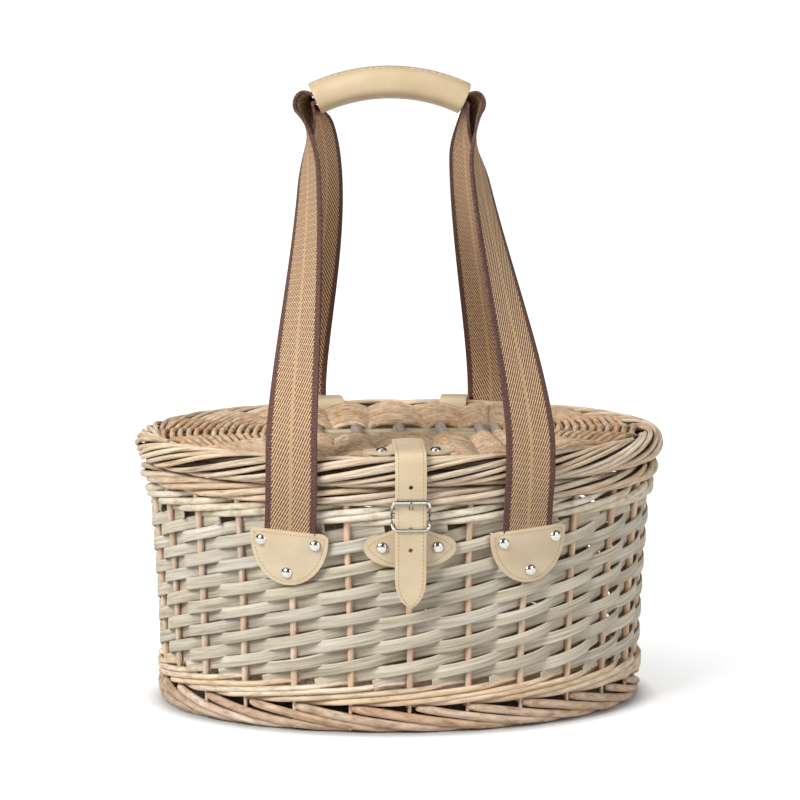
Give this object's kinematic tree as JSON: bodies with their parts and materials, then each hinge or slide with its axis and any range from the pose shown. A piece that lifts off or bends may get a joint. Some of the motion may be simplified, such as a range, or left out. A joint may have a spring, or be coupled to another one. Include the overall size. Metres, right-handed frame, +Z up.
{
  "type": "picnic basket",
  "caption": "Oval woven picnic basket with a hinged woven lid, a buckled leather closure strap and webbing carrying straps joined in a leather grip.",
  "frame": {"origin": "middle of the foot on the floor", "axes": "+Z up, the buckle at the front towards -Y, the long axis of the oval along X"},
  "size_m": [0.4, 0.2761, 0.4788],
  "materials": {
    "strip": "split willow strips, pale grey-beige, dry matt",
    "rod": "whole buff willow rods, satin",
    "pale_rod": "peeled white willow rods, satin",
    "stick": "grey-beige slats and dowels, matt",
    "leather": "pale natural leather, sewn edge",
    "webbing": "tan twill webbing with brown edges",
    "nickel": "nickel plated"
  },
  "bodies": {
    "basket": {"foot_border": "rod", "base_panel": "rod", "lower_wale": "rod", "upper_wale": "pale_rod", "top_border_and_stakes": "rod", "weave_strip_01": "strip", "weave_strip_02": "strip", "weave_strip_03": "strip", "weave_strip_04": "strip", "weave_strip_05": "strip", "weave_strip_06": "strip", "weave_strip_07": "strip", "weave_strip_08": "strip", "weave_strip_09": "strip", "weave_strip_10": "strip", "weave_strip_11": "strip", "weave_strip_12": "strip", "weave_strip_13": "strip", "weave_strip_14": "strip", "weave_strip_15": "strip", "weave_strip_16": "strip", "weave_strip_17": "strip", "weave_strip_18": "strip", "weave_strip_19": "strip", "weave_strip_20": "strip", "weave_strip_21": "strip", "weave_strip_22": "strip", "weave_strip_23": "strip", "weave_strip_24": "strip", "weave_strip_25": "strip", "weave_strip_26": "strip", "handle_tab_front_right": "leather", "handle_tab_front_left": "leather", "handle_tab_rear_right": "leather", "handle_tab_rear_left": "leather", "hinge_lower_right": "leather", "hinge_lower_left": "leather", "closure_tab": "leather", "buckle_chape": "leather"},
    "lid": {"lid_border": "rod", "lid_weave": "rod", "lid_slath": "stick", "hinge_upper_right": "leather", "hinge_upper_left": "leather", "lid_tab": "leather", "closure_strap": "leather"},
    "front_strap": {"front_webbing": "webbing", "grip_wrap": "leather"},
    "rear_strap": {"rear_webbing": "webbing"},
    "buckle": {"buckle_frame": "nickel"},
    "prong": {"buckle_prong": "nickel"}
  },
  "joints": [
    {"name": "lid_hinge", "type": "hinge", "parent": "basket", "child": "lid", "pos_m": [0, 0.1352, 0.18415], "axis": [-1, 0, 0], "range_deg": [0, 100], "deforming": ["closure_strap"]},
    {"name": "front_strap_fold", "type": "hinge", "parent": "basket", "child": "front_strap", "pos_m": [0, -0.1195, 0.1522], "axis": [1, 0, 0], "range_deg": [0, 120]},
    {"name": "rear_strap_fold", "type": "hinge", "parent": "basket", "child": "rear_strap", "pos_m": [0, 0.1195, 0.1522], "axis": [-1, 0, 0], "range_deg": [0, 120]},
    {"name": "buckle_tilt", "type": "hinge", "parent": "basket", "child": "buckle", "pos_m": [0, -0.12984, 0.1664], "axis": [1, 0, 0], "range_deg": [0, 10]},
    {"name": "prong_swing", "type": "hinge", "parent": "buckle", "child": "prong", "pos_m": [0, -0.12984, 0.1664], "axis": [1, 0, 0], "range_deg": [0, 70]}
  ],
  "couplings": [
    {"joint": "front_strap_fold", "follows": "lid_hinge", "ratio": 1.2},
    {"joint": "rear_strap_fold", "follows": "lid_hinge", "ratio": 1.2},
    {"joint": "buckle_tilt", "follows": "lid_hinge", "ratio": 0.1},
    {"joint": "prong_swing", "follows": "lid_hinge", "ratio": 0.7}
  ]
}
